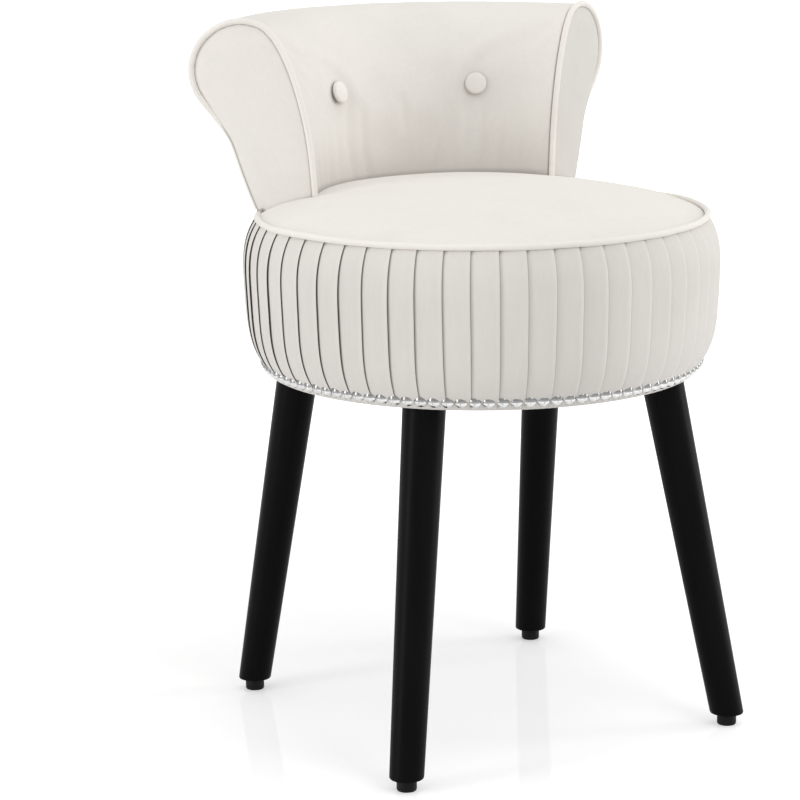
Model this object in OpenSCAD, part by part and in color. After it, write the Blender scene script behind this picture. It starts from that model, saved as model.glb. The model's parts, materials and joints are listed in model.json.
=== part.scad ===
// Round vanity stool: pleated drum seat, low scroll back with two buttons, four splayed legs
// Millimetres, Z up, floor at z = 0, front of the stool towards -Y, left is -X

/* [Drum] */
// Height of the band's lower edge above the floor
hem_z = 334.6; // [250:1:420]
// Radius of the lower edge of the band
hem_r = 200.5; // [180:0.5:215]
// Height of the nail row above the lower edge
nail_row_h = 7.3; // [7:0.1:14]
// How far the nail row stands out past the lower edge
nail_row_out = 1.8; // [0:0.1:4]
// Height of the seat piping above the lower edge
drum_h = 143.1; // [110:1:200]
// How far the ring of seat piping stands out past the lower edge
rim_out = 6.5; // [2:0.5:15]
// How far the band swells between its two edges
band_bulge = 13.1; // [4:0.1:20]
// Thickness of the pleated cloth and its lining
band_t = 3.2; // [2.5:0.1:5]
// Number of pleats round the drum
pleat_count = 56; // [24:1:64]
// How far each pleat stands over the next
pleat_step = 2.2; // [0.8:0.1:3.5]
// Number of nails round the drum
nail_count = 106; // [40:1:110]
// Radius of a nail head
nail_r = 5.5; // [3:0.1:5.6]
// Height of a nail head's dome
nail_dome = 2.8; // [1.5:0.1:4]
// Length of a nail's shank
nail_len = 13; // [8:1:16]

/* [Seat] */
// How far the middle of the seat rises above the piping
seat_crown = 20.5; // [5:0.5:40]
// How sharply the crown falls to the edge
crown_power = 5; // [2:0.2:7]
// Thickness of the seat and back cloth
cloth_t = 2; // [1:0.1:3]
// Radius of the piping cord, cloth included
piping_r = 3; // [2:0.1:5]
// Depth of the seat foam below the piping
seat_foam_h = 21; // [15:1:40]

/* [Frame] */
// Thickness of the plywood base board
base_t = 18; // [15:1:25]
// Thickness of the plywood deck under the foam
deck_t = 12; // [9:1:18]
// Height of the base board above the band's lower edge
base_lift = 2.7; // [2:0.1:8]
// How far the hardboard hoop stands in from the band's lower edge
hoop_in = 10.5; // [9:0.5:18]
// Thickness of the hoop
hoop_t = 5; // [3:0.5:8]
// Angle of the four frame posts from the front and back line
post_angle = 32; // [24:1:34]
// Width of a frame post
post_w = 34; // [24:1:40]
// Depth of a frame post
post_d = 24; // [18:1:30]

/* [Back] */
// Half the angle that the back wraps round the seat
back_half = 57.7; // [40:0.1:75]
// How far the back's front face stands in from the seat piping
back_front_in = 54.8; // [48:0.2:64]
// How far the back's rear face stands in from the seat piping
back_rear_in = 0.5; // [0:0.1:4]
// Radius of the roll at the top of the back
roll_r = 43.3; // [30:0.5:46]
// How far the roll's centre stands out past the seat piping
roll_out = 14; // [2:0.5:24]
// Height of the roll's centre above the seat piping
roll_lift = 130.3; // [100:0.1:180]
// How far the padded front swells between its two ends
back_crown = 20; // [0:0.5:22]
// Thickness of the bent plywood core
core_t = 12; // [8:1:15]
// Thickness of the end boards
end_board_t = 9; // [6:1:15]
// How far an end panel stands out past the middle of its piping
panel_proud = 1.2; // [0.4:0.1:2.4]
// Radius of the piping round the end panels, cloth included
end_piping_r = 2.8; // [2:0.1:4]
// Radius of the timber rail inside the roll
rail_r = 14; // [8:1:18]

/* [Buttons] */
// Height of the buttons above the seat piping
button_lift = 99.4; // [80:0.2:115]
// Place of a button on the way from the middle of the back to its end
button_share = 0.53; // [0.3:0.01:0.7]
// Radius of a covered button
button_r = 10.5; // [7:0.5:14]
// Thickness of a covered button
button_t = 6.5; // [4:0.5:9]
// How deep a button pulls the cloth in
tuft_depth = 5; // [0:0.5:9]
// Radius of the twine that holds a button
tie_r = 1; // [0.6:0.1:1.5]

/* [Legs] */
// How far the front feet stand out past the band's lower edge
front_foot_out = 32.2; // [10:0.1:50]
// Angle of the front feet from the sideways line
front_foot_angle = 42.2; // [38:0.1:48]
// How far the rear feet stand out past the band's lower edge
rear_foot_out = 30.2; // [10:0.1:50]
// Angle of the rear feet from the sideways line
rear_foot_angle = 46.4; // [38:0.1:50]
// How far the front legs' heads stand in from the band's lower edge
front_head_in = 34; // [30:0.2:44]
// Angle of the front legs' heads from the sideways line
front_head_angle = 41.4; // [38:0.1:46]
// How far the rear legs' heads stand in from the band's lower edge
rear_head_in = 28.7; // [27:0.1:40]
// Angle of the rear legs' heads from the sideways line
rear_head_angle = 38.1; // [36:0.1:44]
// Radius of a leg at its foot
leg_foot_r = 15.4; // [13:0.1:18]
// Radius of a leg at its head
leg_head_r = 19.3; // [17:0.1:22]

/* [Fittings] */
// Radius of a levelling foot
foot_r = 9; // [7:0.5:12]
// Height of a levelling foot's pad
foot_h = 11; // [6:0.5:16]
// How far a levelling foot screws out
foot_travel = 10; // [4:1:12]
// Radius of a levelling foot's stem
stem_r = 4; // [3:0.5:4.5]
// Wall of the threaded insert in a leg's foot
insert_wall = 2; // [1:0.1:2.5]
// Length of the threaded insert
insert_len = 16; // [12:1:24]
// Radius of the bolt in a leg's head
bolt_r = 4; // [3:0.5:5]
// Depth of that bolt in the leg
bolt_depth = 45; // [30:1:60]
// Side of a leg's square mounting plate
plate_side = 54; // [52:1:58]
// How far a plate's middle stands in from its leg, towards the seat's axis
plate_shift = 6; // [5:0.5:8]
// Thickness of a mounting plate
plate_t = 2.5; // [2:0.1:4]
// Length of the slanted boss on a mounting plate
boss_len = 10; // [6:0.5:11]
// Wall of that boss
boss_wall = 4; // [2:0.5:5]
// Radius of the wood screws
screw_r = 2; // [1.5:0.1:2.5]
// Thickness of the steel straps behind the back
strap_t = 3; // [2:0.5:4]
// Width of a strap
strap_w = 30; // [20:1:36]
// How far a strap runs down below the deck board
strap_drop = 59.4; // [50:0.2:74]
// How far a strap runs up the back above the deck
strap_rise = 78; // [50:1:90]
// Running clearance of a stem, a bolt or a screw in its hole
fit_gap = 0.05; // [0.02:0.01:0.1]
// Gap between soft pieces that lie on each other
soft_gap = 0.3; // [0.2:0.05:0.5]

/* [Hidden] */
$fn = 72;

velvet = [0.93, 0.92, 0.90];
foam = [0.95, 0.90, 0.72];
ply = [0.78, 0.65, 0.46];
steel = [0.62, 0.63, 0.65];
black = [0.07, 0.07, 0.07];

// How far a cut runs on past a face, straight and slanted, a distance past everything, and the turn
// of a round piece's seam
over = 1;
slant_over = 6;
far = 1000;
seam_turn = 40;

// Heights from the floor up
rim_z = hem_z + drum_h;
nail_z = hem_z + nail_row_h;
base_z = hem_z + base_lift;
base_top = base_z + base_t;
deck_top = rim_z - seat_foam_h;
deck_z = deck_top - deck_t;
band_top = rim_z - piping_r - soft_gap;
leg_head_z = base_z - plate_t;
leg_foot_z = foot_h + soft_gap;
back_z = rim_z + piping_r + soft_gap;
roll_z = rim_z + roll_lift;
button_z = rim_z + button_lift;

// Radii of the drum, and of the back from the seat's axis
nail_row_r = hem_r + nail_row_out;
rim_r = hem_r + rim_out;
hoop_r = hem_r - hoop_in;
back_front_r = rim_r - back_front_in;
back_rear_r = rim_r - back_rear_in;
roll_centre_r = rim_r + roll_out;
base_r = hem_r - band_t - soft_gap;
cushion_r = rim_r - piping_r - soft_gap;
back_cut_r = back_front_r - soft_gap;
core_in = hoop_r - core_t;
rail_bed = 5;
core_top = roll_z - rail_r - rail_bed;

// Wood screws, straps and the hollows that clear them
head_r = 2 * screw_r;
head_h = 2.2;
screw_bite = 14;
screw_skin = 3;
core_skin = 1;
plate_screw_len = plate_t + base_t - screw_skin;
frame_screw_len = base_t + screw_bite;
strap_screw_len = strap_t + core_t - core_skin;
screw_inset = 7;
boss_room = 3;
boss_pocket_r = bolt_r + boss_wall + 0.4 * boss_len;
boss_pocket_h = boss_len + boss_room;
strap_low = deck_z - strap_drop;
strap_top = deck_top + strap_rise;
strap_inset = 15;
strap_holes = [strap_low + strap_inset, deck_z - strap_inset,
    deck_top + 2 * strap_inset, strap_top - strap_inset];
washer_r = 9;
washer_t = 1.5;
washer_gap = 0.2;
point_room = 0.5;
stem_short = 4;
stem_len = insert_len + foot_travel - stem_short;
stem_room = 0.5;
stem_end_room = 3;
bolt_end_room = 1;
plate_corner = 5;
dust_t = 0.8;
dust_gap = 0.5;
button_edge = 1.5;
button_side = 2.4;

// Pleats and nails
pleat_pitch = 360 / pleat_count;
pleat_lap = 0.3;
pleat_phase = -1.4;
nail_phase = -0.5;
nail_tilt = 22;
nail_shank_r = 0.9;
band_rows = [0, 0.1, 0.3, 0.55, 0.8, 0.93, 1];
band_overhang = 1.7;
band_power = 3.6;

// Outline of the back in radius and height: front line, roll, then rear line
roll_from = 115;
roll_to = -37;
front_lean = 2;
front_handle = 70;
roll_handle = 30;
rear_handle = 66;
rear_pull = [30, 75];
swell_start = 0.08;
swell_skew = 0.65;
swell_power = 4;
swell_flat = 4;
tuft_reach = 17;
wrap_cols = 24;

function bezier(a, b, c, d, n) = [for (i = [0:n]) let (t = i / n, u = 1 - t)
    u * u * u * a + 3 * u * u * t * b + 3 * u * t * t * c + t * t * t * d];
function roll_point(a) = [roll_centre_r + roll_r * cos(a), roll_z + roll_r * sin(a)];
function roll_way(a) = [sin(a), -cos(a)];
front_line = bezier([back_front_r, back_z], [back_front_r + front_lean, back_z + front_handle],
    roll_point(roll_from) - roll_handle * roll_way(roll_from), roll_point(roll_from), 11);
roll_line = [for (i = [1:11]) roll_point(roll_from + (roll_to - roll_from) * i / 12)];
rear_line = bezier(roll_point(roll_to), roll_point(roll_to) + rear_handle * roll_way(roll_to),
    [back_rear_r, back_z] + rear_pull, [back_rear_r, back_z], 7);
outline = concat(front_line, roll_line, rear_line);
seam = len(front_line) + len(roll_line);

// The outline moved inwards, which is to the right of the way it runs
function along(p, i) = p[min(i + 1, len(p) - 1)] - p[max(i - 1, 0)];
function inward(p, i) = let (v = along(p, i) / norm(along(p, i))) [v[1], -v[0]];
function inset(p, d) = [for (i = [0:len(p) - 1]) p[i] + d * inward(p, i)];
function part_of(p, first, last) = [for (i = [first:last]) p[i]];
cloth_line = inset(outline, cloth_t);
board_line = inset(outline, cloth_t + 2 * soft_gap);
panel_line = inset(outline, end_piping_r + soft_gap);

// Half the angle between the end panels at a radius, and a point at a share of that angle,
// measured from the seat's axis
function end_angle(r) = back_half - asin((end_piping_r + soft_gap) / r);
function back_point(p, share) = let (a = share * end_angle(p[0]))
    [p[0] * sin(a), p[0] * cos(a), p[1]];

// How far the padded front stands out at a row of the outline and a share of the half angle
function run(p, i) = i == 0 ? 0 : run(p, i - 1) + norm(p[i] - p[i - 1]);
function row_share(i) = run(outline, i) / run(outline, seam);
function swell(u, share) = let (v = max(0, u - swell_start) / (1 - swell_start))
    back_crown * (1 - pow(share, swell_flat)) * pow(sin(180 * pow(v, swell_skew)), swell_power);
button_u = lookup(button_z, [for (i = [0:len(front_line) - 1]) [front_line[i][1], row_share(i)]]);
button_face_r = lookup(button_z, [for (p = front_line) [p[1], p[0]]]);
button_spots = [for (side = [-1, 1]) back_point([button_face_r, button_z], side * button_share)];
button_angle = end_angle(button_face_r) * button_share;
button_lean = atan2(lookup(button_z + button_r, [for (p = front_line) [p[1], p[0]]])
    - button_face_r, button_r);
button_out = max(swell(button_u, button_share) - tuft_depth, -cloth_t / 2);
function tuft(q) = tuft_depth * max([for (b = button_spots) exp(-pow(norm(q - b) / tuft_reach, 2))]);
function front_out(i, share) = let (q = back_point(outline[i], share))
    max(swell(row_share(i), share) - tuft(q), -cloth_t / 2);

// Top of the seat, and outside and inside of the pleated band
function crown_z(r) = rim_z + seat_crown * (1 - pow(r / cushion_r, crown_power));
function band_r(s) = nail_row_r + (rim_r + band_overhang - nail_row_r) * s
    + band_bulge * (1 - pow(abs(2 * s - 1), band_power));
function band_z(s) = nail_z + (band_top - nail_z) * s;
band_inner = [[hem_z, hem_r - band_t],
    [band_z(0.5), band_r(0.5) - band_t - pleat_step], [band_top, band_r(1) - band_t]];
function inside_band(z) = lookup(z, band_inner) - 3 * soft_gap;

// One row of the band: each pleat starts low and ends raised over the start of the next
function pleat_depth(s) = pleat_step * (0.25 + 0.75 * sin(180 * s));
function pleat_over(s) = pleat_lap * (1.2 * sin(180 * s) - 0.2);
function at_angle(r, a, z) = [r * cos(a), r * sin(a), z];
function pleats(r, z, s) = [for (k = [0:pleat_count - 1])
    let (a = k * pleat_pitch + pleat_phase) each [
        at_angle(r - pleat_depth(s), a - pleat_over(s), z),
        at_angle(r, a + pleat_pitch + pleat_over(s), z)]];

// The seat's axis stands forward of the origin, which is under the middle of the whole stool
axis_y = (max([for (s = band_rows) band_r(s)]) - roll_centre_r - roll_r) / 2;

// Corners of the stool, as a side of -1 for left or 1 for right, and true for the rear
CORNERS = [[-1, false], [1, false], [-1, true], [1, true]];
function corner_point(side, rear, r, a, z) =
    [side * r * cos(a), axis_y + (rear ? r : -r) * sin(a), z];
function foot_point(side, rear) = corner_point(side, rear,
    hem_r + (rear ? rear_foot_out : front_foot_out),
    rear ? rear_foot_angle : front_foot_angle, leg_foot_z);
function head_point(side, rear) = corner_point(side, rear,
    hem_r - (rear ? rear_head_in : front_head_in),
    rear ? rear_head_angle : front_head_angle, leg_head_z);
POSTS = [post_angle, -post_angle, 180 - post_angle, 180 + post_angle];

// Triangles between two rows of n points that start at a and b
function strip(a, b, n, loop) = [for (i = [0:n - (loop ? 1 : 2)]) let (j = (i + 1) % n)
    each [[a + i, b + j, a + j], [a + i, b + i, b + j]]];
function flipped(faces) = [for (f = faces) [f[2], f[1], f[0]]];

// Closed solid between an outer and an inner grid, whose rows close into rings if loop is true
module skin(outer, inner, loop) {
    n = len(outer[0]);
    k = len(outer);
    m = len(inner);
    outside = [for (r = [0:k - 2]) each strip(r * n, (r + 1) * n, n, loop)];
    inside = [for (r = [0:m - 2]) each strip((k + r) * n, (k + r + 1) * n, n, loop)];
    low = strip(0, k * n, n, loop);
    high = strip((k - 1) * n, (k + m - 1) * n, n, loop);
    ends = loop ? [] : [for (r = [0:k - 2]) let (a = r * n, b = (k + r) * n, e = n - 1)
        each [[a, b, a + n], [b, b + n, a + n],
            [a + e, a + n + e, b + e], [b + e, a + n + e, b + n + e]]];
    polyhedron(points = [for (row = concat(outer, inner)) each row],
        faces = concat(outside, flipped(inside), flipped(low), high, ends));
}

// Placing
module on_axis() translate([0, axis_y, 0]) children();
module facing(a) on_axis() rotate(90 - a) children();
module on_side(side) mirror([side < 0 ? 1 : 0, 0, 0]) children();

// Stands a round piece on a with its axis towards b, its seam turned clear of the tips that a level
// cut gives it
module aimed(a, b) {
    v = b - a;
    translate(a) rotate([0, acos(v[2] / norm(v)), atan2(v[1], v[0])]) rotate(seam_turn) children();
}
module disc(r, z, h) on_axis() translate([0, 0, z]) cylinder(r = r, h = h);
module ring(r_in, r_out, z, h) difference() {
    disc(r_out, z, h);
    disc(r_in, z - over, h + 2 * over);
}

// Wood screw with the underside of its head at the origin and its point up, and its hole
module screw(len) {
    cylinder(r = screw_r, h = len);
    translate([0, 0, -head_h]) cylinder(r = head_r, h = head_h);
}
module screw_hole(len) translate([0, 0, -over])
    cylinder(r = screw_r + fit_gap, h = over + len + point_room);
module head_hole() translate([0, 0, -over]) cylinder(r = head_r + fit_gap, h = over + head_h);

module plate_place(side, rear) {
    p = head_point(side, rear);
    translate(p) rotate(atan2(p[1] - axis_y, p[0])) translate([-plate_shift, 0, 0]) children();
}
module plate_corners() for (i = [-1, 1], j = [-1, 1])
    translate([i, j, 0] * (plate_side / 2 - screw_inset)) children();
module frame_screw_places(top) for (a = POSTS) facing(a)
    translate([hoop_r - hoop_t - post_d / 2, 0, top ? deck_top : base_z])
        mirror([0, 0, top ? 1 : 0]) children();
module strap_screw_places() for (a = [-post_angle, post_angle], z = strap_holes) facing(a)
    translate([hoop_r + strap_t, 0, z]) rotate([0, -90, 0]) children();

// Drum
module base_board() color(ply) difference() {
    disc(base_r, base_z, base_t);
    for (c = CORNERS) {
        translate(head_point(c[0], c[1])) cylinder(r = boss_pocket_r, h = plate_t + boss_pocket_h);
        plate_place(c[0], c[1]) plate_corners() screw_hole(plate_screw_len);
    }
    frame_screw_places(false) {
        screw_hole(base_t);
        head_hole();
    }
}

module frame_posts() color(ply) difference() {
    intersection() {
        ring(hoop_r - hoop_t - post_d, hoop_r - hoop_t, base_top, deck_z - base_top);
        union() for (a = POSTS) facing(a) translate([0, -post_w / 2, base_top - over])
            cube([hoop_r, post_w, deck_z - base_top + 2 * over]);
    }
    for (top = [false, true]) frame_screw_places(top) screw_hole(head_h + frame_screw_len);
    strap_screw_places() screw_hole(strap_screw_len);
}

module side_hoop() color(ply) difference() {
    ring(hoop_r - hoop_t, hoop_r, base_top, deck_z - base_top);
    strap_screw_places() screw_hole(strap_screw_len);
}

module deck_board() color(ply) difference() {
    disc(hoop_r, deck_z, deck_t);
    frame_screw_places(true) {
        screw_hole(deck_t);
        head_hole();
    }
}

module frame_screws() color(steel) for (top = [false, true])
    frame_screw_places(top) translate([0, 0, head_h]) screw(frame_screw_len);

module side_padding() color(foam) difference() {
    in = hoop_r + soft_gap;
    low = base_top + soft_gap;
    top = band_top - 1;
    on_axis() rotate_extrude() polygon([[in, low], [inside_band(low), low],
        for (s = [0.25:0.125:0.875]) [inside_band(band_z(s)), band_z(s)],
        [inside_band(top), top], [cushion_r + soft_gap, top],
        [cushion_r + soft_gap, deck_top - soft_gap], [in, deck_top - soft_gap]]);
    strap_hollow();
}

module pleated_band() color(velvet) {
    outer = [pleats(hem_r, hem_z, 0), for (s = band_rows) pleats(band_r(s), band_z(s), s)];
    inner = [for (p = band_inner) [for (c = [0:2 * pleat_count - 1])
        at_angle(p[1], c * pleat_pitch / 2 + pleat_phase, p[0])]];
    on_axis() skin(outer, inner, true);
}

// Domed nail: a slice of a ball on a shank, with the underside of its head at the origin
module nail() {
    ball_r = (nail_r * nail_r + nail_dome * nail_dome) / (2 * nail_dome);
    intersection() {
        translate([0, 0, nail_dome - ball_r]) sphere(ball_r);
        cylinder(r = nail_r + over, h = nail_dome + over);
    }
    translate([0, 0, -nail_len]) cylinder(r = nail_shank_r, h = nail_len + 0.5);
}

module nail_trim() color(steel) for (k = [0:nail_count - 1])
    on_axis() rotate(k * 360 / nail_count + nail_phase)
        translate([nail_row_r, 0, nail_z]) rotate([0, 90 + nail_tilt, 0]) nail();

module dust_cover() color(black) difference() {
    disc(base_r, base_z - dust_t, dust_t);
    for (c = CORNERS) plate_place(c[0], c[1])
        cube([plate_side + 2 * dust_gap, plate_side + 2 * dust_gap, plate_side], true);
}

// Seat cushion, which leaves room for the back and its end panels
module back_wedge(out) {
    h = back_half;
    tip = [0, -out / sin(h)];
    on_axis() linear_extrude(far) polygon([tip, tip + far * [sin(h), cos(h)],
        tip + far * [0, 1], tip + far * [-sin(h), cos(h)]]);
}

module back_cut() {
    clear = end_piping_r + soft_gap;
    intersection() {
        ring(back_cut_r, far, deck_top - over, seat_foam_h + seat_crown + 2 * over);
        back_wedge(clear);
    }
    for (side = [-1, 1]) facing(side * back_half)
        translate([back_front_r, 0, deck_top - over])
            cylinder(r = clear, h = seat_foam_h + seat_crown + 2 * over);
}

module seat_foam() color(foam) difference() {
    under = cloth_t + soft_gap;
    on_axis() rotate_extrude() polygon([[0, deck_top], [cushion_r - 1, deck_top],
        [cushion_r - 3, deck_top + 0.4 * seat_foam_h], [cushion_r - 0.5, rim_z - under],
        for (i = [14:-1:0]) let (r = (cushion_r - 0.5) * i / 15) [r, crown_z(r) - under]]);
    back_cut();
}

module seat_cover() color(velvet) difference() {
    top = [for (i = [0:18]) let (r = cushion_r * i / 18) [r, crown_z(r)]];
    on_axis() rotate_extrude() polygon(concat(top,
        [for (i = [18:-1:0]) top[i] - [0, cloth_t]]));
    back_cut();
}

module seat_piping() color(velvet) on_axis() rotate_extrude()
    translate([rim_r, rim_z]) circle(piping_r, $fn = 24);

// Back: a revolved section cut square to its ends
module back_slice(inset_d) intersection() {
    on_axis() rotate_extrude() children();
    back_wedge(-inset_d);
}

module back_section() polygon(concat(board_line,
    [[cushion_r, back_z], [cushion_r, deck_top], [board_line[0][0], deck_top]]));

module below_core_top(r_in, r_out) translate([r_in, deck_top])
    square([r_out - r_in, core_top - deck_top]);

module strap_hollow() intersection() {
    ring(hoop_r - 1, hoop_r + strap_t + head_h + soft_gap,
        strap_low - soft_gap, strap_top - strap_low + 2 * soft_gap);
    union() for (a = [-post_angle, post_angle]) facing(a)
        translate([0, -strap_w / 2 - soft_gap, 0]) cube([far, strap_w + 2 * soft_gap, far]);
}

module tie_places() for (side = [-1, 1]) tie_place(side) children();
module tie_place(side) facing(side * button_angle) translate([0, 0, button_z])
    rotate([0, 90, 0]) children();

module back_core() color(ply) difference() {
    back_slice(end_piping_r + end_board_t) below_core_top(core_in, hoop_r);
    strap_screw_places() screw_hole(strap_screw_len);
    tie_places() cylinder(r = tie_r + fit_gap, h = far);
}

module roll_rail() color(ply) back_slice(end_piping_r + end_board_t)
    translate([roll_centre_r, roll_z]) circle(rail_r, $fn = 48);

module end_plate(side, out, t) on_side(side) facing(back_half)
    translate([0, t - out, 0]) rotate([90, 0, 0]) linear_extrude(t) children();

module end_board(side) color(ply)
    end_plate(side, -end_piping_r, end_board_t) back_section();

module back_foam() color(foam) difference() {
    back_slice(end_piping_r + end_board_t) intersection() {
        back_section();
        below_core_top(0, core_in);
    }
    tie_places() cylinder(r = tie_r + fit_gap, h = far);
}

module rear_padding() color(foam) difference() {
    back_slice(end_piping_r + end_board_t) intersection() {
        back_section();
        below_core_top(hoop_r, far);
    }
    strap_hollow();
    tie_places() cylinder(r = washer_r + soft_gap, h = hoop_r + washer_t + soft_gap);
}

module roll_foam() color(foam) back_slice(end_piping_r + end_board_t) difference() {
    intersection() {
        back_section();
        translate([0, core_top]) square(far);
    }
    translate([roll_centre_r, roll_z]) circle(rail_r, $fn = 48);
}

module back_front_cover() color(velvet) {
    shares = [for (c = [0:wrap_cols]) 2 * c / wrap_cols - 1];
    outer = [for (i = [0:seam]) [for (s = shares)
        back_point(outline[i] - front_out(i, s) * inward(outline, i), s)]];
    inner = [for (i = [0:seam]) [for (s = shares) back_point(cloth_line[i], s)]];
    on_axis() skin(outer, inner, false);
}

module back_rear_cover() color(velvet) {
    last = len(outline) - 1;
    outer = part_of(outline, seam, last);
    inner = part_of(cloth_line, seam, last);
    step = 0.04;
    back_slice(end_piping_r + soft_gap) polygon([
        outer[0] + step * (outer[1] - outer[0]), for (i = [1:last - seam]) outer[i],
        for (i = [last - seam:-1:1]) inner[i], inner[0] + step * (inner[1] - inner[0])]);
}

module end_panel(side) color(velvet)
    end_plate(side, panel_proud, end_piping_r + panel_proud) polygon(panel_line);

module end_piping(side) color(velvet) {
    sides = 8;
    rings = [for (i = [0:len(outline) - 1]) [for (k = [0:sides - 1]) let (a = 360 * k / sides,
        p = outline[i] + end_piping_r * cos(a) * inward(outline, i))
        [p[0], end_piping_r * sin(a), p[1]]]];
    n = len(rings);
    walls = [for (r = [0:n - 2]) each strip(r * sides, (r + 1) * sides, sides, true)];
    caps = [for (k = [1:sides - 2]) each [[0, k, k + 1],
        [(n - 1) * sides, (n - 1) * sides + k + 1, (n - 1) * sides + k]]];
    on_side(side) facing(back_half) polyhedron(points = [for (r = rings) each r],
        faces = concat(walls, caps));
}

module button(side) color(velvet) facing(side * button_angle)
    translate([button_face_r - button_out * cos(button_lean), 0,
        button_z + button_out * sin(button_lean)])
        rotate([0, button_lean - 90, 0]) rotate_extrude() polygon([[0, 0],
            [button_r - button_edge, 0], [button_r, button_edge], for (a = [0:15:90])
            [button_r * cos(a), button_side + (button_t - button_side) * sin(a)]]);

module button_tie(side) color(black) tie_place(side) {
    from = button_face_r - button_out * cos(button_lean) + soft_gap;
    translate([0, 0, from]) cylinder(r = tie_r, h = hoop_r + washer_t - from);
    translate([0, 0, hoop_r + washer_gap]) cylinder(r = washer_r, h = washer_t);
}

module back_strap(side) color(steel) difference() {
    intersection() {
        ring(hoop_r, hoop_r + strap_t, strap_low, strap_top - strap_low);
        facing(side * post_angle) translate([0, -strap_w / 2, 0]) cube([far, strap_w, far]);
    }
    strap_screw_places() screw_hole(strap_screw_len);
}

module strap_screws() color(steel) strap_screw_places() screw(strap_screw_len);

// Legs and their fittings
module leg(side, rear) color(black) {
    low = foot_point(side, rear);
    high = head_point(side, rear);
    more = 0.06;
    grow = more * (leg_head_r - leg_foot_r);
    difference() {
        intersection() {
            aimed(low - more * (high - low), high) cylinder(r1 = leg_foot_r - grow,
                r2 = leg_head_r + grow, h = (1 + 2 * more) * norm(high - low));
            translate([-far / 2, -far / 2, leg_foot_z]) cube([far, far, leg_head_z - leg_foot_z]);
        }
        translate(low - [0, 0, over]) {
            cylinder(r = stem_r + fit_gap + insert_wall, h = over + insert_len);
            cylinder(r = stem_r + stem_room, h = over + stem_len + stem_end_room);
        }
        aimed(high, low) translate([0, 0, -slant_over])
            cylinder(r = bolt_r + fit_gap, h = slant_over + bolt_depth + bolt_end_room);
    }
}

module leg_plate(side, rear) color(steel) {
    low = foot_point(side, rear);
    high = head_point(side, rear);
    way = (high - low) / norm(high - low);
    half = plate_side / 2;
    cut = half - plate_corner;
    seat = high + way * plate_t / way[2];
    difference() {
        union() {
            plate_place(side, rear) linear_extrude(plate_t) polygon([[half, cut], [cut, half],
                [-cut, half], [-half, cut], [-half, -cut], [-cut, -half], [cut, -half],
                [half, -cut]]);
            aimed(seat, seat + way) cylinder(r = bolt_r + boss_wall, h = boss_len);
        }
        aimed(high - way * slant_over, high)
            cylinder(r = bolt_r + fit_gap, h = boss_len + 2.5 * slant_over);
        plate_place(side, rear) plate_corners() screw_hole(plate_t + 1);
    }
}

module plate_screws() color(steel) for (c = CORNERS)
    plate_place(c[0], c[1]) plate_corners() screw(plate_screw_len);

module leg_bolt(side, rear) color(steel) {
    low = foot_point(side, rear);
    high = head_point(side, rear);
    way = (high - low) / norm(high - low);
    aimed(high - way * bolt_depth, high)
        cylinder(r = bolt_r, h = bolt_depth + plate_t / way[2] + boss_len);
}

module foot_insert(side, rear) color(steel) translate(foot_point(side, rear)) difference() {
    cylinder(r = stem_r + fit_gap + insert_wall, h = insert_len);
    translate([0, 0, -over]) cylinder(r = stem_r + fit_gap, h = insert_len + 2 * over);
}

module foot(side, rear) color(black) {
    p = foot_point(side, rear);
    edge = 1;
    translate([p[0], p[1], 0]) {
        rotate_extrude() polygon([[0, 0], [foot_r - edge, 0], [foot_r, edge],
            [foot_r, foot_h - edge], [foot_r - edge, foot_h], [0, foot_h]]);
        translate([0, 0, foot_h - over]) cylinder(r = stem_r, h = over + stem_len);
    }
}

base_board();
frame_posts();
side_hoop();
deck_board();
frame_screws();
side_padding();
seat_foam();
seat_cover();
seat_piping();
pleated_band();
nail_trim();
dust_cover();
back_core();
roll_rail();
end_board(-1);  // end_board_left
end_board(1);  // end_board_right
back_foam();
roll_foam();
rear_padding();
back_front_cover();
back_rear_cover();
end_panel(-1);  // end_panel_left
end_panel(1);  // end_panel_right
end_piping(-1);  // end_piping_left
end_piping(1);  // end_piping_right
button(-1);  // button_left
button(1);  // button_right
button_tie(-1);  // button_tie_left
button_tie(1);  // button_tie_right
back_strap(-1);  // back_strap_left
back_strap(1);  // back_strap_right
strap_screws();
leg(-1, false);  // leg_front_left
leg(1, false);  // leg_front_right
leg(-1, true);  // leg_rear_left
leg(1, true);  // leg_rear_right
leg_plate(-1, false);  // leg_plate_front_left
leg_plate(1, false);  // leg_plate_front_right
leg_plate(-1, true);  // leg_plate_rear_left
leg_plate(1, true);  // leg_plate_rear_right
plate_screws();
leg_bolt(-1, false);  // leg_bolt_front_left
leg_bolt(1, false);  // leg_bolt_front_right
leg_bolt(-1, true);  // leg_bolt_rear_left
leg_bolt(1, true);  // leg_bolt_rear_right
foot_insert(-1, false);  // foot_insert_front_left
foot_insert(1, false);  // foot_insert_front_right
foot_insert(-1, true);  // foot_insert_rear_left
foot_insert(1, true);  // foot_insert_rear_right
foot(-1, false);  // foot_front_left
foot(1, false);  // foot_front_right
foot(-1, true);  // foot_rear_left
foot(1, true);  // foot_rear_right
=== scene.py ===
"""Looks of a round vanity stool: velvet seat with piping, pleated band with a row of nails, low
scroll back with two buttons, and black turned legs on levelling feet. Metres, Z up, front at -Y."""

import json
import math
import random

import bmesh
import bpy
from mathutils import Matrix, Vector, noise
from mathutils.geometry import delaunay_2d_cdt


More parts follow.
